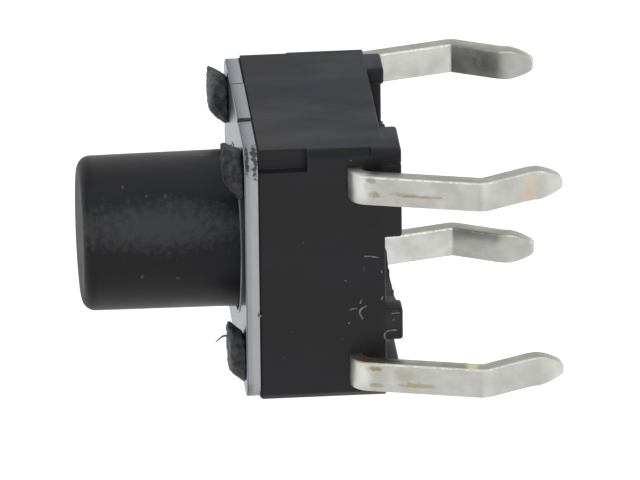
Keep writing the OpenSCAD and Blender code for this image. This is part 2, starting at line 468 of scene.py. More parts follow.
class Graph:
    """A short hand for building one material's nodes."""

    def __init__(self, name: str) -> None:
        """Starts a material with a Principled shader on the surface.

        Args:
            name: The material's name.
        """
        self.material = bpy.data.materials.new(name)
        self.material.use_nodes = True
        self.tree = self.material.node_tree
        self.shader = self.tree.nodes["Principled BSDF"]
        self.place = self.node("ShaderNodeTexCoord").outputs["Object"]

    def node(self, kind: str, **settings: object) -> bpy.types.Node:
        """Adds one node and sets its own properties.

        Args:
            kind: The node's type, as Blender names it.
            settings: The node's own properties.

        Returns:
            The node.
        """
        made = self.tree.nodes.new(kind)
        for key, value in settings.items():
            setattr(made, key, value)
        return made

    def link(self, source: Socket, target: Socket) -> None:
        """Wires one socket to another."""
        self.tree.links.new(source, target)

    def noise(
        self,
        size_mm: float,
        detail: float = 4,
        rough: float = 0.55,
        stretch: Point = (1, 1, 1),
    ) -> Socket:
        """Adds a noise pattern on the piece's own coordinates.

        Args:
            size_mm: The rough size of one patch.
            detail: How many finer layers it has.
            rough: How strong the finer layers are.
            stretch: How much longer a patch is along each axis.

        Returns:
            The pattern's value, from 0 to 1.
        """
        mapping = self.node("ShaderNodeMapping")
        scale = 1 / (size_mm * MM)
        mapping.inputs["Scale"].default_value = [scale / s for s in stretch]
        self.link(self.place, mapping.inputs["Vector"])
        made = self.node("ShaderNodeTexNoise")
        made.inputs["Scale"].default_value = 1
        made.inputs["Detail"].default_value = detail
        made.inputs["Roughness"].default_value = rough
        self.link(mapping.outputs["Vector"], made.inputs["Vector"])
        return made.outputs["Fac"]

    def spread(
        self,
        source: Socket,
        low: float,
        high: float,
        to_low: float = 0,
        to_high: float = 1,
    ) -> Socket:
        """Maps a value smoothly from one range to another and holds it at the ends.

        Args:
            source: The value.
            low: Where the range that it is read from begins.
            high: Where that range ends.
            to_low: What it becomes at low and below.
            to_high: What it becomes at high and above.

        Returns:
            The mapped value.
        """
        made = self.node("ShaderNodeMapRange", clamp=True)
        made.interpolation_type = "SMOOTHSTEP"
        made.inputs["From Min"].default_value = low
        made.inputs["From Max"].default_value = high
        made.inputs["To Min"].default_value = to_low
        made.inputs["To Max"].default_value = to_high
        self.link(source, made.inputs["Value"])
        return made.outputs["Result"]

    def math(self, kind: str, a: Socket, b: Socket | float) -> Socket:
        """Joins two values with a sum, product or other operation.

        Args:
            kind: The operation, as Blender names it.
            a: The first value.
            b: The second value, or a plain number.

        Returns:
            The result.
        """
        made = self.node("ShaderNodeMath", operation=kind)
        self.link(a, made.inputs[0])
        if isinstance(b, (int, float)):
            made.inputs[1].default_value = b
        else:
            self.link(b, made.inputs[1])
        return made.outputs["Value"]

    def blend(self, share: Socket, a: Colour | Socket, b: Colour | Socket) -> Socket:
        """Mixes two colours by a share.

        Args:
            share: 0 gives a and 1 gives b.
            a: The first colour, or a socket that carries one.
            b: The second colour, or a socket that carries one.

        Returns:
            The mixed colour.
        """
        made = self.node("ShaderNodeMix", data_type="RGBA")
        self.link(share, made.inputs["Factor"])
        for socket, colour in ((made.inputs[6], a), (made.inputs[7], b)):
            if isinstance(colour, tuple):
                socket.default_value = (*colour, 1)
            else:
                self.link(colour, socket)
        return made.outputs[2]

    def spot(self, mark: "Mark") -> Socket:
        """Adds one soft patch with a ragged outline.

        Args:
            mark: Where it is, how far it reaches and how it frays.

        Returns:
            1 in the patch, falling to 0 outside it.
        """
        mapping = self.node("ShaderNodeMapping")
        mapping.inputs["Scale"].default_value = [1 / (r * MM) for r in mark.reach]
        mapping.inputs["Location"].default_value = [-c / r for c, r in zip(mark.centre, mark.reach)]
        self.link(self.place, mapping.inputs["Vector"])
        away = self.node("ShaderNodeVectorMath", operation="LENGTH")
        self.link(mapping.outputs["Vector"], away.inputs[0])
        fray = self.math("MULTIPLY", self.noise(mark.fray_mm, detail=4), mark.fray_depth)
        frayed = self.math("ADD", fray, away.outputs["Value"])
        middle = mark.ends_at + mark.fray_depth / 2
        return self.spread(frayed, middle - mark.fade / 2, middle + mark.fade / 2, 1, 0)

    def marked(self, below: Socket, marks: Sequence["Mark"]) -> Socket:
        """Lays stains, scuffs, worn patches and patches of painted light or shade over a colour, one after
        another.

        Args:
            below: The colour that they lie on.
            marks: The patches, from the lowest up.

        Returns:
            The colour with its patches.
        """
        for mark in marks:
            below = self.blend(self.math("MULTIPLY", self.spot(mark), mark.share), below, mark.colour)
        return below

    def axis(self, name: str) -> Socket:
        """Gives one coordinate of the piece.

        Args:
            name: X, Y or Z.

        Returns:
            The coordinate, in metres.
        """
        made = self.node("ShaderNodeSeparateXYZ")
        self.link(self.place, made.inputs["Vector"])
        return made.outputs[name]

    def facing(self, name: str) -> Socket:
        """Gives how far the surface faces along one axis, either way.

        Args:
            name: X, Y or Z.

        Returns:
            1 where it faces along the axis, down to 0 where it lies beside it.
        """
        geometry = self.node("ShaderNodeNewGeometry")
        made = self.node("ShaderNodeSeparateXYZ")
        self.link(geometry.outputs["Normal"], made.inputs["Vector"])
        return self.math("ABSOLUTE", made.outputs[name], 0)

    def bump(self, layers: Sequence[tuple[Socket, float]]) -> None:
        """Adds layers of relief to the surface.

        Args:
            layers: The height value of each layer and its depth in millimetres.
        """
        previous = None
        for height, depth_mm in layers:
            made = self.node("ShaderNodeBump")
            made.inputs["Strength"].default_value = 1
            made.inputs["Distance"].default_value = depth_mm * MM
            self.link(height, made.inputs["Height"])
            if previous is not None:
                self.link(previous, made.inputs["Normal"])
            previous = made.outputs["Normal"]
        self.link(previous, self.shader.inputs["Normal"])

    def colour(self, source: Socket) -> None:
        """Wires the surface colour."""
        self.link(source, self.shader.inputs["Base Color"])

    def roughness(self, source: Socket) -> None:
        """Wires the surface roughness."""
        self.link(source, self.shader.inputs["Roughness"])


@dataclass(frozen=True)
class Mark:
    """A stain, scuff, worn patch or patch of painted light or shade on a surface, in millimetres.

    The fray is how deep ragged bits cut into it; past 1 they mottle it all over. The fade is how
    softly it ends and ends_at where, both as shares of its reach.
    """

    centre: Point
    reach: Point
    colour: Colour
    share: float = 1.0
    fray_mm: float = 0.1
    fray_depth: float = 1.6
    fade: float = 0.8
    ends_at: float = 0.9


@dataclass(frozen=True)
class BlackMoulding:
    """Black moulded plastic with a fine grain, pale dust and faint flow patches."""

    name: str
    marks: tuple[Mark, ...] = ()
    base: Colour = (0.008, 0.008, 0.0095)
    pale: Colour = (0.016, 0.016, 0.0185)
    patch_mm: float = 0.9
    dust: Colour = (0.16, 0.16, 0.16)
    rough_low: float = 0.34
    rough_high: float = 0.5
    grain_mm: float = 0.035
    grain_depth_mm: float = 0.0016
    flow_stretch: Point = (1, 1, 2.5)
    wave_mm: float = 0.6
    wave_depth_mm: float = 0.006
    speck_mm: float = 0.11
    dust_from: float = 0.78
    dust_band: float = 0.05
    gloss: float = 0.36
    ior: float = 1.45
    side_rough: float = 0.0

    def material(self) -> bpy.types.Material:
        """Builds the material.

        Returns:
            The plastic, rougher where it faces along X by side_rough.
        """
        graph = Graph(self.name)
        flow = graph.noise(self.patch_mm, detail=5, stretch=self.flow_stretch)
        grain = graph.noise(self.grain_mm, detail=3, rough=0.7)
        specks = graph.noise(self.speck_mm, detail=2, rough=0.4)
        plastic = graph.blend(graph.spread(flow, 0.3, 0.75), self.base, self.pale)
        dusty = graph.spread(specks, self.dust_from, self.dust_from + self.dust_band)
        graph.colour(graph.marked(graph.blend(dusty, plastic, self.dust), self.marks))
        rough = graph.spread(flow, 0.25, 0.75, self.rough_low, self.rough_high)
        aside = graph.math("MULTIPLY", graph.facing("X"), self.side_rough)
        graph.roughness(graph.math("ADD", rough, aside))
        waves = graph.noise(self.wave_mm, detail=3)
        graph.bump([(waves, self.wave_depth_mm), (grain, self.grain_depth_mm)])
        graph.shader.inputs["IOR"].default_value = self.ior
        graph.shader.inputs["Specular IOR Level"].default_value = self.gloss
        return graph.material


@dataclass(frozen=True)
class PunchedSteel:
    """Dull nickel-plated sheet with rolled grain, bluish sheared sides, a front side with painted shade
    towards its top and painted shade along its rolled rim.
    """

    name: str
    marks: tuple[Mark, ...] = ()
    face: Colour = (0.39, 0.45, 0.51)
    blotched: Colour = (0.345, 0.395, 0.445)
    side: Colour = (0.31, 0.335, 0.36)
    # The front side's colour at the top and at the foot; the darker top is painted shade
    front_high: Colour = (0.33, 0.34, 0.35)
    front_low: Colour = (0.455, 0.46, 0.465)
    # Painted shade along the rolled rim
    rim: Colour = (0.16, 0.17, 0.18)
    dull: float = 0.48
    shiny: float = 0.2
    low_mm: float = 3.32
    high_mm: float = 3.44
    rolled_mm: float = 0.05
    rolled_depth_mm: float = 0.0012
    blotch_mm: float = 0.5
    sheared_mm: float = 0.06
    sheared_depth_mm: float = 0.0016
    streaks: float = 0.72

    def material(self) -> bpy.types.Material:
        """Builds the material.

        Returns:
            The steel, its front side darkened from low_mm up to high_mm as painted shade, with shear
            streaks mixed in.
        """
        graph = Graph(self.name)
        graph.shader.inputs["Metallic"].default_value = 1
        up, along = graph.facing("Z"), graph.facing("X")
        rolled = graph.noise(self.rolled_mm, detail=4, rough=0.6, stretch=(14, 1, 1))
        blotch = graph.spread(graph.noise(self.blotch_mm, detail=5), 0.3, 0.7)
        sheared = graph.noise(self.sheared_mm, detail=4, rough=0.65, stretch=(6, 6, 0.8))
        # The front side darkens towards its top as painted shade; the shear streaks mixed in are the
        # steel's own
        height = graph.spread(graph.axis("Z"), self.low_mm * MM, self.high_mm * MM)
        streaked = graph.math("MULTIPLY", graph.math("ADD", height, sheared), self.streaks)
        front = graph.blend(streaked, self.front_low, self.front_high)
        edge = graph.blend(graph.spread(along, 0.45, 0.85), front, self.side)
        # The rolled rim between the top and the sides is painted dark as painted shade
        rim_shade_share = graph.math("MULTIPLY", graph.spread(up, 0.04, 0.2), graph.spread(up, 0.45, 0.7, 1, 0))
        rim_shaded = graph.blend(rim_shade_share, edge, self.rim)
        top = graph.blend(blotch, self.face, self.blotched)
        on_top = graph.spread(up, 0.5, 0.7)
        graph.colour(graph.marked(graph.blend(on_top, rim_shaded, top), self.marks))
        rubbed = graph.math("SUBTRACT", on_top, rolled)
        graph.roughness(graph.spread(rubbed, -0.6, 0.6, self.dull, self.shiny))
        graph.bump([(rolled, self.rolled_depth_mm), (sheared, self.sheared_depth_mm)])
        return graph.material


@dataclass(frozen=True)
class SilverPlate:
    """Warm silver plating with duller sheared sides, a painted highlight along the burr of one edge, and
    stains and painted light from its marks.
    """

    name: str
    lead_x: float
    marks: tuple[Mark, ...] = ()
    silver: Colour = (0.68, 0.675, 0.64)
    cloudy: Colour = (0.58, 0.575, 0.54)
    dull: Colour = (0.34, 0.35, 0.285)
    painted_burr_highlight: Colour = (0.98, 0.98, 0.95)
    # A painted highlight along the burr near the +X edge of each lead's face
    burr_in: float = 0.31
    burr_w: float = 0.03
    burr_mm: float = 0.09
    cloud_mm: float = 0.45
    drawn_mm: float = 0.07
    drawn_share: float = 0.35
    drawn_depth_mm: float = 0.0012
    wave_mm: float = 0.25
    wave_depth_mm: float = 0.004
    rough_low: float = 0.38
    rough_high: float = 0.5

    def material(self) -> bpy.types.Material:
        """Builds the material.

        Returns:
            The plating of the strip whose leads stand at lead_x.
        """
        graph = Graph(self.name)
        graph.shader.inputs["Metallic"].default_value = 1
        sheared = graph.spread(graph.facing("X"), 0.75, 0.95)
        cloud = graph.spread(graph.noise(self.cloud_mm, detail=5), 0.3, 0.7)
        drawn = graph.noise(self.drawn_mm, detail=4, rough=0.6, stretch=(1, 8, 8))
        plated = graph.blend(cloud, self.silver, self.cloudy)
        plated = graph.blend(graph.spread(drawn, 0.35, 0.8, 0, self.drawn_share), plated, self.cloudy)
        # The burr line near the +X edge is painted pale as a painted highlight
        across = graph.math("SUBTRACT", graph.axis("X"), (self.lead_x + self.burr_in) * MM)
        near = graph.spread(graph.math("ABSOLUTE", across, 0), self.burr_w / 3 * MM, self.burr_w * MM, 1, 0)
        broken = graph.spread(graph.noise(self.burr_mm, detail=3), 0.42, 0.6, 0.3, 1)
        plated = graph.blend(graph.math("MULTIPLY", near, broken), plated, self.painted_burr_highlight)
        graph.colour(graph.marked(graph.blend(sheared, plated, self.dull), self.marks))
        graph.roughness(graph.spread(cloud, 0, 1, self.rough_low, self.rough_high))
        waves = graph.noise(self.wave_mm, detail=4)
        graph.bump([(waves, self.wave_depth_mm), (drawn, self.drawn_depth_mm)])
        return graph.material


@dataclass(frozen=True)
class LintFibre:
    """Pale fibre and dust caught on the plastic."""

    name: str
    pale: Colour = (0.34, 0.34, 0.34)
    dark: Colour = (0.12, 0.12, 0.12)
    fleck_mm: float = 0.08
    sheen_mm: float = 0.05
    fuzz_mm: float = 0.02
    fuzz_depth_mm: float = 0.002

    def material(self) -> bpy.types.Material:
        """Builds the material.

        Returns:
            The lint.
        """
        graph = Graph(self.name)
        flecks = graph.spread(graph.noise(self.fleck_mm), 0.35, 0.65)
        graph.colour(graph.blend(flecks, self.pale, self.dark))
        graph.roughness(graph.spread(graph.noise(self.sheen_mm), 0.3, 0.7, 0.6, 0.9))
        graph.bump([(graph.noise(self.fuzz_mm), self.fuzz_depth_mm)])
        return graph.material


# The switch's own pieces


@dataclass
class Housing:
    """The moulded base with its standoffs, webs and pocket, in millimetres."""

    side: float = 6.0
    foot_z: float = 0.38
    top_z: float = 3.2
    edge_cut: float = 0.17
    edge_soft: float = 0.035
    foot_soft: float = 0.07
    relief_w: float = 0.47
    relief_d: float = 0.24
    relief_h: float = 1.1
    rib_w: float = 0.4
    near_rib: float = 1.35
    far_rib_gap: float = 1.0
    rib_set_in: float = 0.4
    foot_in: float = 0.86
    foot_w: float = 0.76
    foot_l: float = 0.55
    web_t: float = 0.3
    web_bow: float = 0.45
    web_steps: int = 16
    cavity_r: float = 2.37
    cavity_z: float = 1.4
    well_r: float = 1.86
    well_z: float = 1.2
    seam_d: float = 0.06
    seam_h: float = 0.045
    flush: float = 0.002
    ragged: float = 0.022
    ragged_seed: int = 6
    ragged_way: Point = (1, 0.37, 0.11)
    overlap: float = 0.3

    def block(self) -> Solid:
        """Builds the rounded block, relieved at the two corners towards +X.

        Returns:
            The block, without standoffs or pocket.
        """
        half = self.side / 2
        piece = add_block("housing_moulding", (-half, -half, self.foot_z), (half, half, self.top_z))
        with editing(piece):
            pick_edges(piece, upright)
            bpy.ops.mesh.bevel(offset=self.edge_cut, segments=1, affect="EDGES")
        soften(piece, self.edge_soft, segments=2, limit_deg=30)
        reach = half + self.overlap
        for sign in SIDES:
            relief = add_block(
                "relief",
                (half - self.relief_w, sign * (half - self.relief_d), self.top_z - self.relief_h),
                (reach, sign * reach, self.top_z + self.overlap),
            )
            with editing(relief):
                pick_edges(relief, upright)
                bpy.ops.mesh.bevel(offset=self.edge_soft, segments=2, affect="EDGES")
            combine(piece, relief, Cut.TAKE_AWAY)
        combine(piece, self.seam(), Cut.TAKE_AWAY)
        return piece

    def seam(self) -> Solid:
        """Builds the frame that is cut away as the shadow gap under the cover plate.

        Returns:
            The frame, past the block on its outer side and above.
        """
        inner, outer = self.side / 2 - self.seam_d, self.side / 2 + self.overlap
        low, high = self.top_z - self.seam_h, self.top_z + self.overlap
        gap = add_block("seam", (-outer, -outer, low), (outer, outer, high))
        core_low, core_high = low - self.overlap, high + self.overlap
        core = add_block("seam_core", (-inner, -inner, core_low), (inner, inner, core_high))
        combine(gap, core, Cut.TAKE_AWAY)
        return gap

    def standoff(self, name: str, x: tuple[float, float], y: tuple[float, float]) -> Solid:
        """Builds one standoff with soft lower edges.

        It stays a hair inside the block's faces, so that no two faces coincide.

        Args:
            name: The new object's name.
            x: Its two ends along X, in millimetres.
            y: Its two ends along Y.

        Returns:
            The standoff, reaching up into the block.
        """
        reach = self.side / 2 - self.flush
        ends = ([max(-reach, min(reach, end)) for end in span] for span in (x, y))
        (x_one, x_other), (y_one, y_other) = ends
        made = add_block(name, (x_one, y_one, 0), (x_other, y_other, self.foot_z + self.overlap))
        with editing(made):
            pick_edges(made, lambda middle, direction: middle.z < self.foot_z)
            bpy.ops.mesh.bevel(offset=self.foot_soft, segments=3, affect="EDGES")
        return made

    def web(self, sign: int) -> Solid:
        """Spins the curved web that joins the two feet of one side, with a ragged wall.

        Args:
            sign: 1 for the side towards +X and -1 for the other.

        Returns:
            The web, reaching up into the block.
        """
        half = self.side / 2 - self.foot_l + self.overlap / 2
        run = self.side / 2 - self.foot_l
        radius = (run**2 + self.web_bow**2) / (2 * self.web_bow)
        centre_x = sign * (self.foot_in + self.foot_w / 2 + self.web_bow - radius)
        turn = math.asin(half / radius)
        height = self.foot_z + self.overlap
        middle = (centre_x + sign * radius, 0, height / 2)
        section = (self.web_t, height)
        made = spin_bar("web", section, middle, centre_x, -sign * turn, sign * 2 * turn, self.web_steps)
        with editing(made, everything=True):
            bpy.ops.mesh.subdivide(number_cuts=1)
            put_in_order(made, self.ragged_way)
            pick_faces(made, lambda at, normal: at.z < self.foot_z and abs(normal.z) < ALONG)
            bpy.ops.transform.vertex_random(
                offset=self.ragged, uniform=0.2, normal=0.8, seed=self.ragged_seed
            )
            bpy.ops.mesh.select_all(action="SELECT")
            bpy.ops.mesh.quads_convert_to_tris()
        return made

    def finish(self) -> BlackMoulding:
        """Gives the moulding's plastic, with painted shade along the chamfer between the two near faces.

        Returns:
            The finish, with painted bluish light on the +X face and one scraped foot.
        """
        half = self.side / 2
        edge, middle = half - self.edge_cut / 2, (self.foot_z + self.top_z - self.relief_h) / 2
        foot = (-self.foot_in - self.foot_w / 2, -half, self.foot_z / 2)
        painted_shade_black, bluish, pale = (0.002, 0.002, 0.002), (0.013, 0.0165, 0.027), (0.03, 0.03, 0.032)
        # Painted shade along the chamfer between the two near faces
        chamfer = Mark((edge, -edge, middle), (0.11, 0.11, 1.3), painted_shade_black, fray_depth=0.3)
        # Painted bluish light on the +X face
        painted_blue_sheen = Mark((half, 0, middle), (0.3, 3.2, 1.7), bluish, 0.9, fray_mm=0.8)
        scraped = Mark(foot, (0.45, 0.2, 0.25), pale)
        return BlackMoulding("black_moulding", (painted_blue_sheen, chamfer, scraped), side_rough=0.15)

    def build(self) -> None:
        """Builds and dresses the moulding."""
        half = self.side / 2
        piece = self.block()
        inner = half - self.rib_w
        end = half - self.rib_set_in
        spans = [
            ((inner, half), (-half, -half + self.near_rib)),
            ((inner, half), (half - self.near_rib, end)),
        ]
        for sign in SIDES:
            spans.append(((-half, -inner), (sign * self.far_rib_gap / 2, sign * end)))
            face = (sign * half, sign * (half - self.foot_l))
            spans.append(((-self.foot_in - self.foot_w, -self.foot_in), face))
            spans.append(((self.foot_in, inner + self.edge_soft), face))
        for number, (x, y) in enumerate(spans):
            combine(piece, self.standoff(f"standoff_{number}", x, y), Cut.ADD)
        for sign in SIDES:
            combine(piece, self.web(sign), Cut.ADD)
        pocket = self.top_z + self.overlap - self.cavity_z
        combine(piece, add_round("cavity", (0, 0, self.cavity_z), self.cavity_r, pocket), Cut.TAKE_AWAY)
        depth = self.cavity_z + self.overlap - self.well_z
        combine(piece, add_round("well", (0, 0, self.well_z), self.well_r, depth), Cut.TAKE_AWAY)
        finish_piece(piece, self.finish().material(), Body.BASE, "housing")


@dataclass(frozen=True)
class MeltedHead:
    """How one post was melted over the plate: where it stands and how far its end slumped.

    The two sides are -1 or 1 along X and Y, and the seed sets its knobs.
    """

    name: str
    side_x: int
    side_y: int
    foot_r: float
    end_r: float
    height: float
    slump: float
    seed: int
    whiskered: bool = False


@dataclass
class PostHeads:
    """The four posts with their melted heads, in millimetres.

    The hot tool came down askew, so every head is a cone that slumps the same way.
    """

    post_in: float = 2.2
    post_r: float = 0.4
    housing_top: float = 3.2
    plate_top: float = 3.5
    slump_towards_deg: float = 23.0
    set_back: float = 0.04
    sunk: float = 0.01
    smooth_foot: float = 0.06
    knobs: float = 0.03
    lumps: float = 0.07
    lump_size: float = 0.16
    whisker: tuple[Point, ...] = (
        (-1.62, -2.45, 3.82),
        (-1.58, -2.4, 3.92),
        (-1.64, -2.4, 4.05),
        (-1.75, -2.4, 4.15),
    )
    whisker_r: float = 0.035
    sides: int = 22

    def heads(self) -> list[MeltedHead]:
        """Lists the four heads as they slumped.

        Returns:
            The heads, the one with the whisker among them.
        """
        return [
            MeltedHead("post_head_rear_near", 1, 1, 0.57, 0.54, 0.43, 0.3, 3),
            MeltedHead("post_head_front_near", 1, -1, 0.58, 0.49, 0.44, 0.34, 11),
            MeltedHead("post_head_front_far", -1, -1, 0.57, 0.57, 0.36, 0.3, 5, True),
            MeltedHead("post_head_rear_far", -1, 1, 0.55, 0.48, 0.4, 0.28, 8),
        ]

    def head(self, head: MeltedHead, x: float, y: float) -> Solid:
        """Builds one melted head round its post, with an uneven slope and end.

        Args:
            head: How it slumped.
            x: The middle of its post along X.
            y: The middle of its post along Y.

        Returns:
            The head, seated on the plate.
        """
        foot_z = self.plate_top - self.sunk
        slope = head.end_r - head.foot_r
        rings = [
            (head.foot_r - 0.05, 0),
            (head.foot_r, 0.1 * head.height),
            (head.foot_r + 0.1 * slope, 0.28 * head.height),
            (head.foot_r + 0.45 * slope, 0.55 * head.height),
            (head.foot_r + 0.85 * slope, 0.8 * head.height),
            (head.end_r - 0.02, 0.94 * head.height),
            (head.end_r - 0.1, head.height),
            (0.5 * head.end_r, head.height),
            (0.2 * head.end_r, head.height),
        ]
        angle = math.radians(self.slump_towards_deg)
        towards = Vector((math.cos(angle), math.sin(angle)))
        foot = Vector((x, y)) - towards * self.set_back
        lean = towards * (head.slump / head.height)
        piece = lathe(head.name, rings, self.sides, (foot.x, foot.y, foot_z), tuple(lean))
        with editing(piece):
            pick_faces(piece, lambda centre, normal: centre.z > foot_z + self.smooth_foot)
            bpy.ops.transform.vertex_random(offset=self.knobs, uniform=0.3, normal=0.7, seed=head.seed)
        apply_modifier(piece, "SUBSURF", levels=2, render_levels=2)
        lumps = bpy.data.textures.new("melted_lumps", "CLOUDS")
        lumps.noise_scale = self.lump_size
        lumps.noise_depth = 4
        apply_modifier(piece, "DISPLACE", texture=lumps, strength=self.lumps, mid_level=0.5)
        return piece

    def pale_head_ends(self) -> Iterator[Mark]:
        """Gives paler end faces on two of the heads.

        Yields:
            One mark for each of those heads.
        """
        for side in SIDES:
            # The end faces of two heads are painted paler
            centre = (side * self.post_in + 0.2, side * self.post_in, self.plate_top + 0.42)
            yield Mark(centre, (0.6, 0.6, 0.2), (0.2, 0.2, 0.205), 0.8, fray_mm=0.18, fray_depth=2.2)

    def build(self) -> None:
        """Builds and dresses the four posts."""
        material = BlackMoulding(
            "melted_plastic",
            base=(0.013, 0.013, 0.0145),
            pale=(0.085, 0.085, 0.09),
            patch_mm=0.16,
            flow_stretch=(1, 1, 1),
            rough_low=0.4,
            rough_high=0.6,
            grain_depth_mm=0.0035,
            marks=tuple(self.pale_head_ends()),
        ).material()
        for head in self.heads():
            x, y = head.side_x * self.post_in, head.side_y * self.post_in
            piece = self.head(head, x, y)
            length = self.plate_top - self.housing_top + head.height / 2
            extras = [add_round("post", (x, y, self.housing_top), self.post_r, length, SMALL_ROUND)]
            if head.whiskered:
                radii = [self.whisker_r * (1 - k / len(self.whisker)) for k in range(len(self.whisker))]
                extras.append(draw_thread(self.whisker, radii))
            join(piece, extras)
            finish_piece(piece, material, Body.BASE, smooth_deg=60)


@dataclass
class CoverPlate:
    """The punched sheet that holds the button down, in millimetres."""

    side: float = 6.0
    foot_z: float = 3.2
    top_z: float = 3.5
    corner_r: float = 0.5
    tie_l: float = 2.0
    tie_proud: float = 0.05
    notch_w: float = 0.08
    notch_d: float = 0.07
    hole_r: float = 1.84
    post_in: float = 2.2
    post_hole_r: float = 0.42
    roll: float = 0.035
    burr: float = 0.015
    lip_r: float = 0.03
    worn_in: float = 0.13
    clear: float = 0.2

    def finish(self) -> PunchedSteel:
        """Gives the sheet's steel, with painted shade in the notches and a worn corner.

        Returns:
            The finish.
        """
        half, mid = self.side / 2, (self.foot_z + self.top_z) / 2
        notch_shade, bare = (0.02, 0.02, 0.022), (0.04, 0.04, 0.04)
        # The notches are painted dark as painted shade in their recesses
        notches = [
            Mark((half, y, mid), (0.12, 0.055, 0.4), notch_shade, fray_depth=0.3)
            for y in (-(self.tie_l + self.notch_w) / 2, self.tie_l / 2 + self.notch_w + self.burr)
        ]
        corner = half - self.worn_in
        worn = [
            Mark((corner, -corner, z), (0.42, 0.42, tall), bare, 0.9, fray_mm=size, fray_depth=deep)
            for z, tall, size, deep in ((3.26, 0.07, 0.09, 3.2), (3.43, 0.04, 0.07, 2.4))
        ]
        return PunchedSteel("punched_steel", (*notches, *worn))

    def build(self) -> None:
        """Builds and dresses the plate."""
        half = self.side / 2
        piece = add_block("cover_plate_sheet", (-half, -half, self.foot_z), (half, half, self.top_z))
        with editing(piece):
            pick_edges(piece, upright)
            bpy.ops.mesh.bevel(offset=self.corner_r, segments=8, affect="EDGES")
        wide, along = half + self.tie_proud, self.tie_l / 2
        ties = add_block("ties", (-wide, -along, self.foot_z + TINY), (wide, along, self.top_z - TINY))
        for sheared in (piece, ties):
            with editing(sheared):
                pick_edges(sheared, lambda middle, direction: middle.z > self.top_z - 2 * TINY)
                bpy.ops.mesh.bevel(offset=self.roll, segments=3, affect="EDGES")
        combine(piece, ties, Cut.ADD)
        for side_x, side_y in CORNERS:
            notch = add_block(
                "notch",
                (side_x * half - self.notch_d, side_y * (along - self.burr), self.foot_z - self.clear),
                (side_x * half + self.notch_d, side_y * (along + self.notch_w), self.top_z + self.clear),
            )
            combine(piece, notch, Cut.TAKE_AWAY)
        height = self.top_z - self.foot_z + 2 * self.clear
        hole = add_round("hole", (0, 0, self.foot_z - self.clear), self.hole_r, height)
        combine(piece, hole, Cut.TAKE_AWAY)
        bpy.ops.mesh.primitive_torus_add(
            major_radius=self.hole_r + 1.5 * self.lip_r,
            minor_radius=self.lip_r,
            major_segments=ROUND,
            minor_segments=10,
            location=(0, 0, self.top_z),
        )
        combine(piece, settled("lip"), Cut.ADD)
        for side_x, side_y in CORNERS:
            place = (side_x * self.post_in, side_y * self.post_in, self.foot_z - self.clear)
            post_hole = add_round("post_hole", place, self.post_hole_r, height, SMALL_ROUND)
            combine(piece, post_hole, Cut.TAKE_AWAY)
        soften(piece, self.burr, segments=1)
        finish_piece(piece, self.finish().material(), Body.BASE, "cover_plate")


@dataclass
class PushButton:
    """The moulded button with its guide, flange, boss and nub, in millimetres."""

    nub_r: float = 0.5
    nub_z: float = 1.54
    boss_r: float = 1.2
    boss_z: float = 1.88
    flange_r: float = 2.17
    flange_z: float = 2.58
    flange_top: float = 3.18
    foot_r: float = 1.78
    foot_top: float = 4.0
    shaft_r: float = 1.757
    end_r: float = 1.737
    end_round: float = 0.3
    top_z: float = 7.0
    flat_in: float = 0.15
    dish_r: float = 0.4
    dish_d: float = 0.005
    soft: float = 0.04
    wall_steps: int = 6
    end_steps: int = 10
    sides: int = 128

    def profile(self) -> list[tuple[float, float]]:
        """Lists the rings from the nub to the end face, which is dished a little.

        Returns:
            The radius and height of each ring.
        """
        rings = [
            (self.nub_r - self.soft, self.nub_z),
            (self.nub_r, self.nub_z + self.soft),
            (self.nub_r, self.boss_z),
            (self.boss_r - self.soft, self.boss_z),
            (self.boss_r, self.boss_z + self.soft),
            (self.boss_r, self.flange_z),
            (self.flange_r - self.soft, self.flange_z),
            (self.flange_r, self.flange_z + self.soft),
            (self.flange_r, self.flange_top - self.soft),
            (self.flange_r - self.soft, self.flange_top),
            (self.foot_r, self.flange_top),
            (self.shaft_r, self.foot_top),
        ]
        shoulder_z = self.top_z - self.end_round
        for step in range(1, self.wall_steps + 1):
            share = step / self.wall_steps
            draft = (self.shaft_r - self.end_r) * share
            rings.append((self.shaft_r - draft, self.foot_top + (shoulder_z - self.foot_top) * share))
        for step in range(1, self.end_steps + 1):
            angle = math.pi / 2 * step / self.end_steps
            drawn_in = self.end_round * (1 - math.cos(angle))
            rings.append((self.end_r - drawn_in, shoulder_z + self.end_round * math.sin(angle)))
        rings.append((self.end_r - self.end_round - self.flat_in, self.top_z))
        rings.append((self.dish_r, self.top_z - self.dish_d))
        return rings

    @staticmethod
    def finish() -> BlackMoulding:
        """Gives the button's plastic, with a mottled scuff along its side, a few nicked spots and a painted
        highlight on the end's rounding.

        Returns:
            The finish.
        """
        scuffed, pale = (0.76, -1.58, 5.35), (0.1, 0.1, 0.1)
        nicks_and_highlight = (
            Mark((-0.38, -1.7, 5.71), (0.05, 0.2, 0.05), pale, 0.6),
            Mark((-0.46, -1.68, 4.92), (0.05, 0.2, 0.05), pale, 0.6),
            Mark((1.3, -1.17, 5.14), (0.06, 0.1, 0.03), pale, 0.6),
            Mark((1.47, -0.95, 6.07), (0.04, 0.1, 0.03), pale, 0.8),
            Mark((1.75, 0.05, 4.28), (0.1, 0.05, 0.2), pale, 0.5, fray_depth=2.4),
            # A painted highlight on the rounding of the end
            Mark((0.72, -1.55, 6.82), (0.4, 0.3, 0.06), (0.05, 0.05, 0.05), 0.9),
        )
        scuff = Mark(scuffed, (0.42, 0.5, 1.75), (0.042, 0.042, 0.044), fray_depth=1.4, fade=1.4)
        rubbed = Mark(scuffed, (0.4, 0.5, 1.5), (0.06, 0.06, 0.062), fray_mm=0.14, fray_depth=3.5, fade=1.6)
        return BlackMoulding(
            "button_plastic",
            (scuff, rubbed, *nicks_and_highlight),
            grain_depth_mm=0.0008,
            rough_low=0.4,
            rough_high=0.5,
            gloss=0.28,
        )

    def build(self) -> None:
        """Builds and dresses the button."""
        piece = lathe("button_moulding", self.profile(), self.sides)
        finish_piece(piece, self.finish().material(), Body.BUTTON, "push_button")


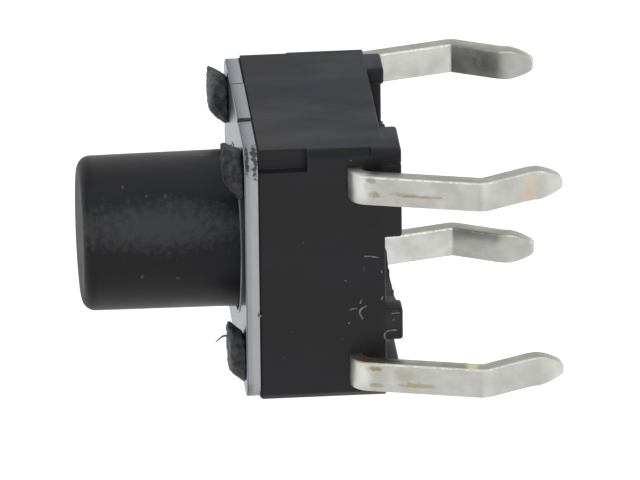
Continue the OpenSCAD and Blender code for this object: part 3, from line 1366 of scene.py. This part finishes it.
@dataclass
class ContactDome:
    """The sprung disc under the button, in millimetres."""

    radius: float = 1.8
    rise: float = 0.25
    thick: float = 0.07
    foot_z: float = 1.2
    rings: int = 10
    sides: int = 64

    def build(self, finish: PunchedSteel) -> None:
        """Builds and dresses the dome, on a mesh of its own.

        Args:
            finish: The sheet's finish.
        """
        curve = (self.radius**2 + self.rise**2) / (2 * self.rise)

        def height(r: float) -> float:
            """Gives the height of the dome's underside at a radius."""
            return self.rise - curve + math.sqrt(curve**2 - r**2)

        steps = [self.radius * (self.rings - k) / self.rings for k in range(self.rings)]
        under = [(r, height(r)) for r in reversed(steps)]
        over = [(r, height(r) + self.thick) for r in steps]
        piece = lathe("snap_dome", under + over, self.sides, (0, 0, self.foot_z))
        finish_piece(piece, finish.material(), Body.BASE, "contact_dome")
        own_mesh(piece)


@dataclass(frozen=True)
class Turn:
    """One corner of a bent lead: where its middle lines meet and its bend radius."""

    y: float
    z: float
    radius: float


@dataclass
class Terminals:
    """The two stamped strips, each with a kinked lead at both ends, in millimetres."""

    lead_x: float = 2.25
    width: float = 0.7
    thick: float = 0.3
    strip_z: float = 0.9
    face_y: float = 3.0
    lead_out: float = 0.32
    leg_deg: float = 14.8
    kink_z: float = 1.72
    waist_drop: float = 1.08
    return_deg: float = 27.0
    tip_deg: float = 8.6
    tip_drop: float = 0.73
    tip_w: float = 0.3
    tip_l: float = 0.56
    shoulder: float = 0.5
    taper_steps: int = 8
    nose_steps: int = 3
    nose_from_deg: float = 34.0
    nose_to_deg: float = 68.0
    exit_r: float = 0.34
    kink_r: float = 0.25
    waist_r: float = 0.7
    bend_step_deg: float = 7.0
    least_bend_steps: int = 4
    edge_soft: float = 0.03
    tongue_w: float = 0.7
    tongue_step: float = 0.15
    centre_r: float = 0.55
    centre_sides: int = 64
    rim_mid_r: float = 1.62
    rim_w: float = 0.36
    rim_deg: float = 220.0
    rim_steps: int = 44
    merge: float = 0.003
    clear: float = 0.004
    brown: Colour = (0.36, 0.24, 0.1)
    olive: Colour = (0.42, 0.38, 0.22)

    @property
    def mid_z(self) -> float:
        """Height of the middle of the strip."""
        return self.strip_z + self.thick / 2

    def turns(self) -> list[Turn]:
        """Lists the corners of a lead.

        Returns:
            The corners from the housing to the waist, in the YZ plane.
        """
        exit_y = self.face_y + self.lead_out
        kink_y = exit_y + (self.mid_z + self.kink_z) * math.tan(math.radians(self.leg_deg))
        waist_y = kink_y - self.waist_drop * math.tan(math.radians(self.return_deg))
        return [
            Turn(exit_y, self.mid_z, self.exit_r),
            Turn(kink_y, -self.kink_z, self.kink_r),
            Turn(waist_y, -self.kink_z - self.waist_drop, self.waist_r),
        ]

    def sweep(self, name: str, x: float) -> Solid:
        """Extrudes and spins a lead's section from the middle of the strip to the tip.

        Args:
            name: The new object's name.
            x: The middle of the lead across the housing.

        Returns:
            Half a strip with the lead at +Y, open at Y = 0.
        """
        bpy.ops.mesh.primitive_plane_add(size=1, location=(x, 0, self.mid_z), rotation=(math.pi / 2, 0, 0))
        piece = settled(name)
        headings = [0.0, self.leg_deg - 90, -self.return_deg - 90, -self.tip_deg - 90]
        place = Vector((x, 0, self.mid_z))
        with editing(piece, everything=True):
            bpy.ops.transform.resize(value=(self.width, 1, self.thick), center_override=tuple(place))
            for corner, before, after in zip(self.turns(), headings, headings[1:]):
                heading = self.heading(before)
                turn = math.radians(after - before)
                back = corner.radius * math.tan(abs(turn) / 2)
                start = Vector((x, corner.y, corner.z)) - heading * back
                bpy.ops.mesh.extrude_region_move(TRANSFORM_OT_translate={"value": start - place})
                side = Vector((0, -heading.z, heading.y)) * math.copysign(corner.radius, turn)
                centre = start + side
                steps = max(self.least_bend_steps, round(abs(math.degrees(turn)) / self.bend_step_deg))
                spin_selection(turn, (1, 0, 0), centre, steps)
                place = Vector((x, corner.y, corner.z)) + self.heading(after) * back
            self.draw_tip(place)
            pick_faces(piece, lambda middle, normal: middle.y < TINY)
            bpy.ops.mesh.delete(type="FACE")
            bpy.ops.mesh.select_all(action="SELECT")
            bpy.ops.mesh.remove_doubles(threshold=TINY)
            bpy.ops.mesh.normals_make_consistent(inside=False)
        return piece

    @staticmethod
    def heading(degrees: float) -> Vector:
        """Gives the direction in the YZ plane at an angle above +Y."""
        return Vector((0, math.cos(math.radians(degrees)), math.sin(math.radians(degrees))))

    def draw_tip(self, place: Vector) -> None:
        """Extrudes the selected section to the tip and draws it in to a rounded point.

        Args:
            place: The middle of the selected section.
        """
        heading = self.heading(-self.tip_deg - 90)
        tip_z = -self.kink_z - self.waist_drop - self.tip_drop
        length = (tip_z - place.z) / heading.z
        start, stop = math.radians(self.nose_from_deg), math.radians(self.nose_to_deg)
        nose_r = self.tip_w / 2 / math.cos(start)
        end = self.tip_l - nose_r * (1 - math.sin(start))
        marks = []
        for step in range(self.taper_steps + 1):
            share = step / self.taper_steps
            eased = share - self.shoulder * (1 - share) * share
            marks.append((end * share, self.width - (self.width - self.tip_w) * eased))
        for step in range(1, self.nose_steps + 1):
            angle = start + (stop - start) * step / self.nose_steps
            marks.append((end + nose_r * (math.sin(angle) - math.sin(start)), 2 * nose_r * math.cos(angle)))
        width, reached = self.width, 0.0
        for along, next_width in marks:
            target = length - self.tip_l + along
            move = heading * (target - reached)
            place = place + move
            bpy.ops.mesh.extrude_region_move(TRANSFORM_OT_translate={"value": move})
            bpy.ops.transform.resize(value=(next_width / width, 1, 1), center_override=tuple(place))
            width, reached = next_width, target

    def strip(self, name: str, x: float) -> Solid:
        """Builds one whole strip with its two leads, its long edges coined.

        Args:
            name: The new object's name.
            x: The middle of the strip across the housing.

        Returns:
            The strip.
        """
        piece = self.sweep(name, x)
        apply_modifier(
            piece,
            "MIRROR",
            use_axis=(False, True, False),
            use_mirror_merge=True,
            merge_threshold=TINY,
        )
        soften(piece, self.edge_soft, segments=2, limit_deg=35)
        with editing(piece, everything=True):
            bpy.ops.mesh.remove_doubles(threshold=self.merge)
        return piece

    def centre_terminal(self) -> None:
        """Builds and dresses the strip that carries the contact under the dome's middle."""
        piece = self.strip("centre_terminal_strip", self.lead_x)
        low = self.strip_z - self.tongue_step
        half = self.tongue_w / 2
        tongue = add_block("tongue", (0, -half, low), (self.lead_x, half, low + self.thick))
        combine(piece, tongue, Cut.ADD)
        pad_z = low + self.clear
        pad_h = self.strip_z + self.thick - pad_z
        pad = add_round("pad", (0, 0, pad_z), self.centre_r, pad_h, self.centre_sides)
        combine(piece, pad, Cut.ADD)
        plate = SilverPlate("silver_plate_centre", self.lead_x, self.centre_stains_and_light())
        finish_piece(piece, plate.material(), Body.BASE, "terminal_centre")

    def rim_terminal(self) -> None:
        """Builds and dresses the strip that carries the curved contact under the dome's rim."""
        piece = self.strip("rim_terminal_strip", -self.lead_x)
        half = self.tongue_w / 2
        low, high = self.strip_z + self.clear, self.strip_z + self.thick - self.clear
        arm = add_block("arm", (-self.lead_x, -half, low), (-self.rim_mid_r, half, high))
        combine(piece, arm, Cut.ADD)
        start, angle = math.radians(180 - self.rim_deg / 2), math.radians(self.rim_deg)
        section, middle = (self.rim_w, self.thick), (self.rim_mid_r, 0, self.mid_z)
        rim = spin_bar("rim_contact", section, middle, 0, start, angle, self.rim_steps)
        combine(piece, rim, Cut.ADD)
        plate = SilverPlate("silver_plate_rim", -self.lead_x, self.rim_stains_and_light())
        finish_piece(piece, plate.material(), Body.BASE, "terminal_rim")

    @staticmethod
    def front_painted_light(x: float, gleam: Colour) -> tuple[Mark, Mark]:
        """Gives the painted light on each front lead: painted shade on its lower part and a painted
        highlight on its bend at the housing.

        Args:
            x: The middle of the lead across the housing.
            gleam: The colour of the painted highlight on the bend.

        Returns:
            The two marks, to lie under the stains.
        """
        return (
            # Painted shade on the lower part of the lead
            Mark((x, -3.9, -2.5), (1, 0.8, 0.95), (0.41, 0.41, 0.39), 0.5, fray_depth=0.4),
            # Painted highlight on the bend at the housing
            Mark((x, -3.3, 1.0), (0.5, 0.3, 0.35), gleam, 0.9, fray_depth=0.4),
        )

    def centre_stains_and_light(self) -> tuple[Mark, ...]:
        """Lists the stains and painted light on the leads nearer +X.

        Returns:
            The stains and painted light, from the lowest layer up.
        """
        beige = (0.6, 0.52, 0.36)
        return (
            *self.front_painted_light(self.lead_x, (1, 1, 0.96)),
            Mark((2.5, -3.56, 0.73), (0.07, 0.5, 0.1), self.brown, 0.6, fray_depth=2.2),
            Mark((2.16, -3.58, 0.65), (0.07, 0.5, 0.13), self.brown, 0.6, fray_depth=2.2),
            Mark((2.2, -3.75, 0.02), (0.05, 0.6, 0.3), self.olive, 0.5, fray_depth=2.2),
            Mark((2.17, -3.8, -0.32), (0.035, 0.6, 0.55), self.brown, 0.6, fray_depth=2.2),
            Mark((2.2, -3.65, -2.81), (0.34, 0.6, 0.19), beige, 0.55, fray_depth=1.2),
        )

    def rim_stains_and_light(self) -> tuple[Mark, ...]:
        """Lists the stains and painted light on the leads nearer -X, with a painted reflection of the
        housing on one lead's side.

        Returns:
            The stains and painted light, from the lowest layer up.
        """
        painted_housing_reflection, tan, yellow = (0.4, 0.3, 0.15), (0.45, 0.36, 0.2), (0.85, 0.8, 0.5)
        return (
            *self.front_painted_light(-self.lead_x, (1, 1, 0.94)),
            # Painted reflection of the dark housing on the lead's +X side, by the exit
            Mark((-1.9, -3.35, 0.78), (0.06, 0.35, 0.5), painted_housing_reflection, 0.75),
            Mark((-2.05, -3.57, 0.68), (0.06, 0.5, 0.18), self.brown, 0.75),
            Mark((-2.44, -3.57, 0.66), (0.06, 0.5, 0.15), self.olive, 0.75),
            Mark((-2.4, -3.82, -0.24), (0.06, 0.6, 0.42), tan, 0.75),
            Mark((-2.17, -3.74, 0.06), (0.17, 0.6, 0.24), self.olive, 0.35),
            Mark((-1.9, -4.0, -1.45), (0.06, 0.3, 0.14), yellow, 0.6),
        )

    def build(self) -> None:
        """Builds both terminals."""
        self.centre_terminal()
        self.rim_terminal()


@dataclass(frozen=True)
class Strand:
    """One thread of lint: the points it passes, as X and Z on the front face, and its radius."""

    points: tuple[tuple[float, float], ...]
    radius: float = 0.011


@dataclass
class Lint:
    """The dust and threads that cling to the housing's front face, in millimetres."""

    face_y: float = -3.0

    def strands(self) -> list[Strand]:
        """Lists the threads and specks, each from one end to the other.

        Returns:
            The threads.
        """
        return [
            Strand(((-0.86, 3.22), (-0.91, 3.18)), 0.035),
            Strand(((2.78, 1.14), (2.75, 1.12))),
            Strand(((-0.13, 1.3), (-0.13, 1.25)), 0.008),
            Strand(((-0.84, 1.19), (-0.8, 1.12), (-0.82, 1.02)), 0.018),
            Strand(((-0.75, 0.81), (-0.8, 0.91), (-0.87, 0.97), (-0.97, 0.96), (-1.07, 0.9)), 0.023),
            Strand(((-0.6, 0.93), (-0.69, 0.95)), 0.02),
            Strand(((-1.14, 1.22), (-1.17, 1.2)), 0.02),
            Strand(((0.2, 0.86), (0.1, 0.86))),
            Strand(((0.44, 0.85), (0.45, 0.71), (0.4, 0.54)), 0.018),
            Strand(((0.09, 0.48), (0.03, 0.46)), 0.015),
            Strand(((-0.97, 0.26), (-0.96, 0.07)), 0.01),
            Strand(((-0.55, 0.45), (-0.62, 0.48)), 0.018),
            Strand(((-1.11, 0.23), (-1.13, 0.2)), 0.02),
            Strand(
                ((-1.37, 0.14), (-1.37, 0.3), (-1.4, 0.39), (-1.5, 0.43), (-1.61, 0.39), (-1.63, 0.31)),
                0.018,
            ),
        ]

    def thread(self, strand: Strand) -> Solid:
        """Draws one thread, half sunk in the surface."""
        y = self.face_y - strand.radius / 2
        return draw_thread([(x, y, z) for x, z in strand.points], [strand.radius] * len(strand.points))

    def build(self, finish: LintFibre) -> None:
        """Builds and dresses all threads as one piece.

        Args:
            finish: The lint's finish.
        """
        threads = [self.thread(strand) for strand in self.strands()]
        join(threads[0], threads[1:])
        threads[0].name = threads[0].data.name = "lint"
        finish_piece(threads[0], finish.material(), Body.BASE)


# Studio


@dataclass
class Studio:
    """A white floor, soft light and the photograph's camera, in millimetres and degrees."""

    floor_z: float = -3.53
    floor_side: float = 4000.0
    aim: Point = (-0.389, -0.043, 1.607)
    azimuth_deg: float = 23.225
    elevation_deg: float = 4.05
    roll_deg: float = 92.42
    distance: float = 387.36
    lens: float = 973.1
    sensor: float = 36.0
    sky_light: float = 0.5
    sky_mirrored: float = 0.68
    floor_glow: float = 0.72

    def camera(self) -> None:
        """Places the camera where the photograph was taken from."""
        a, e = math.radians(self.azimuth_deg), math.radians(self.elevation_deg)
        back = Vector((math.sin(a) * math.cos(e), -math.cos(a) * math.cos(e), math.sin(e)))
        bpy.ops.object.camera_add(location=(Vector(self.aim) + back * self.distance) * MM)
        camera = bpy.context.active_object
        camera.name = "photo_camera"
        level = (-back).to_track_quat("-Z", "Y")
        roll = Matrix.Rotation(math.radians(self.roll_deg), 4, "Z").to_quaternion()
        camera.rotation_euler = (level @ roll.inverted()).to_euler()
        camera.data.lens = self.lens
        camera.data.sensor_width = self.sensor
        camera.data.clip_start = 0.01
        camera.data.clip_end = 20
        bpy.context.scene.camera = camera

    @staticmethod
    def scaled(tree: bpy.types.NodeTree, source: Socket, factor: float) -> Socket:
        """Adds a node that multiplies a value by a number.

        Args:
            tree: The node tree to add it to.
            source: The value.
            factor: The number.

        Returns:
            The product.
        """
        made = tree.nodes.new("ShaderNodeMath")
        made.operation = "MULTIPLY"
        made.inputs[1].default_value = factor
        tree.links.new(source, made.inputs[0])
        return made.outputs["Value"]

    def seen_share(self, tree: bpy.types.NodeTree, mirrored: float) -> Socket:
        """Adds nodes that tell how much of the plain white a ray sees.

        Args:
            tree: The node tree to add them to.
            mirrored: The share that mirror and glass rays see.

        Returns:
            1 for camera rays, the mirrored share for mirror and glass rays and 0 for the rest.
        """
        path = tree.nodes.new("ShaderNodeLightPath")
        share = path.outputs["Is Camera Ray"]
        for name in ("Is Glossy Ray", "Is Transmission Ray"):
            part = self.scaled(tree, path.outputs[name], mirrored)
            most = tree.nodes.new("ShaderNodeMath")
            most.operation = "MAXIMUM"
            tree.links.new(share, most.inputs[0])
            tree.links.new(part, most.inputs[1])
            share = most.outputs["Value"]
        return share

    def sky(self) -> None:
        """Makes a soft sky that shows as plain white."""
        world = bpy.data.worlds.new("studio_sky")
        bpy.context.scene.world = world
        world.use_nodes = True
        tree = world.node_tree
        background = tree.nodes["Background"]
        background.inputs["Color"].default_value = (1, 1, 1, 1)
        strength = tree.nodes.new("ShaderNodeMapRange")
        strength.inputs["To Min"].default_value = self.sky_light
        strength.inputs["To Max"].default_value = 1
        mirrored = (self.sky_mirrored - self.sky_light) / (1 - self.sky_light)
        tree.links.new(self.seen_share(tree, mirrored), strength.inputs["Value"])
        tree.links.new(strength.outputs["Result"], background.inputs["Strength"])

    def floor(self) -> None:
        """Lays the white floor under the lead tips."""
        bpy.ops.mesh.primitive_plane_add(size=self.floor_side * MM, location=(0, 0, self.floor_z * MM))
        floor = settled("floor")
        material = bpy.data.materials.new("white_floor")
        material.use_nodes = True
        tree = material.node_tree
        shader = tree.nodes["Principled BSDF"]
        shader.inputs["Base Color"].default_value = (0.8, 0.8, 0.8, 1)
        shader.inputs["Roughness"].default_value = 0.9
        shader.inputs["Emission Color"].default_value = (1, 1, 1, 1)
        glow = self.scaled(tree, self.seen_share(tree, 1), self.floor_glow)
        tree.links.new(glow, shader.inputs["Emission Strength"])
        floor.data.materials.append(material)

    def lamp(self, name: str, place: Point, size: float, power: float, colour: Colour = (1, 1, 1)) -> None:
        """Adds one soft square lamp that faces the switch.

        Args:
            name: The lamp's name.
            place: Where it hangs, in millimetres.
            size: The length of its side, in millimetres.
            power: Its power in watts.
            colour: Its colour.
        """
        bpy.ops.object.light_add(type="AREA", location=Vector(place) * MM)
        lamp = bpy.context.active_object
        lamp.name = name
        lamp.rotation_euler = Vector(place).to_track_quat("Z", "Y").to_euler()
        lamp.data.size = size * MM
        lamp.data.energy = power
        lamp.data.color = colour

    def build(self) -> None:
        """Sets up the camera, the sky, the floor and the lamps."""
        self.camera()
        self.sky()
        self.floor()
        self.lamp("key_lamp", (320, -100, 160), 300, 0.2, (0.82, 0.93, 1))
        self.lamp("fill_lamp", (-60, -300, 200), 300, 0.07)


def main() -> None:
    """Builds the studio and every piece of the switch."""
    logging.basicConfig(level=logging.INFO, format="%(name)s: %(message)s")
    Studio().build()
    Housing().build()
    PostHeads().build()
    CoverPlate().build()
    PushButton().build()
    ContactDome().build(PunchedSteel("sprung_steel", face=(0.6, 0.6, 0.62)))
    Terminals().build()
    Lint().build(LintFibre("lint_fibre"))
    bpy.context.scene.view_settings.view_transform = "Standard"
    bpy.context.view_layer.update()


if __name__ == "__main__":
    main()
